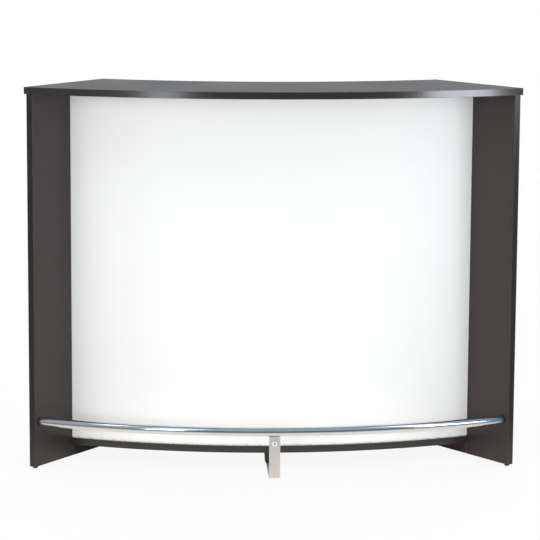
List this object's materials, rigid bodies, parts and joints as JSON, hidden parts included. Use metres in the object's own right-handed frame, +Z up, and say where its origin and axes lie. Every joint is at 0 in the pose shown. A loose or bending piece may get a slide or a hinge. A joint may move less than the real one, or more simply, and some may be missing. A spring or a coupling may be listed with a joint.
{
  "type": "bar cabinet",
  "caption": "Curved bar counter: dark boards, bowed white front panel, overhanging worktop, chrome foot rail on a bracket, open rear bays with fixed and loose shelves.",
  "frame": {"origin": "on the floor under the middle of the worktop's box", "axes": "+Z up, +X to the guest's right as the guest faces the front, -Y towards the guest"},
  "size_m": [1.345, 0.449, 1.048],
  "materials": {
    "dark_board": "melamine faced chipboard",
    "dark_edge_band": "satin band",
    "white_panel": "white lacquered hardboard",
    "chromed_steel": "bright chrome",
    "grey_bracket": "matt silver grey",
    "black_plastic": "moulded",
    "grey_plastic": "moulded",
    "beech": "fluted beech",
    "zinc_steel": "zinc plated",
    "dark_steel": "blackened"
  },
  "bodies": {
    "carcass": {"bottom_shelf": "dark_board", "bottom_shelf_edge_bands": "dark_edge_band", "cam_bolts": "zinc_steel", "cam_locks": "dark_steel", "foot_rail": "chromed_steel", "front_panel": "white_panel", "glide_nails": "zinc_steel", "glides": "black_plastic", "joining_screws": "zinc_steel", "left_fixed_shelf": "dark_board", "left_fixed_shelf_edge_band": "dark_edge_band", "left_rail_end_plug": "black_plastic", "left_side_board": "dark_board", "left_side_edge_bands": "dark_edge_band", "middle_board": "dark_board", "middle_board_edge_band": "dark_edge_band", "middle_foot": "black_plastic", "middle_foot_screw": "zinc_steel", "panel_stop_pins": "zinc_steel", "rail_bracket": "grey_bracket", "rail_end_screws": "zinc_steel", "right_fixed_shelf": "dark_board", "right_fixed_shelf_edge_band": "dark_edge_band", "right_rail_end_plug": "black_plastic", "right_side_board": "dark_board", "right_side_edge_bands": "dark_edge_band", "screw_caps": "grey_plastic", "shelf_supports": "zinc_steel", "tab_nut": "zinc_steel", "tab_screw": "zinc_steel", "wooden_dowels": "beech", "worktop": "dark_board", "worktop_edge_band": "dark_edge_band"},
    "right_shelf": {"right_loose_shelf": "dark_board", "right_loose_shelf_edge_band": "dark_edge_band"},
    "left_shelf": {"left_loose_shelf": "dark_board", "left_loose_shelf_edge_band": "dark_edge_band"}
  },
  "joints": [
    {"name": "right_shelf_lift", "type": "slide", "parent": "carcass", "child": "right_shelf", "axis": [0, 0, 1], "range_m": [0, 0.25]},
    {"name": "left_shelf_lift", "type": "slide", "parent": "carcass", "child": "left_shelf", "axis": [0, 0, 1], "range_m": [0, 0.25]}
  ]
}
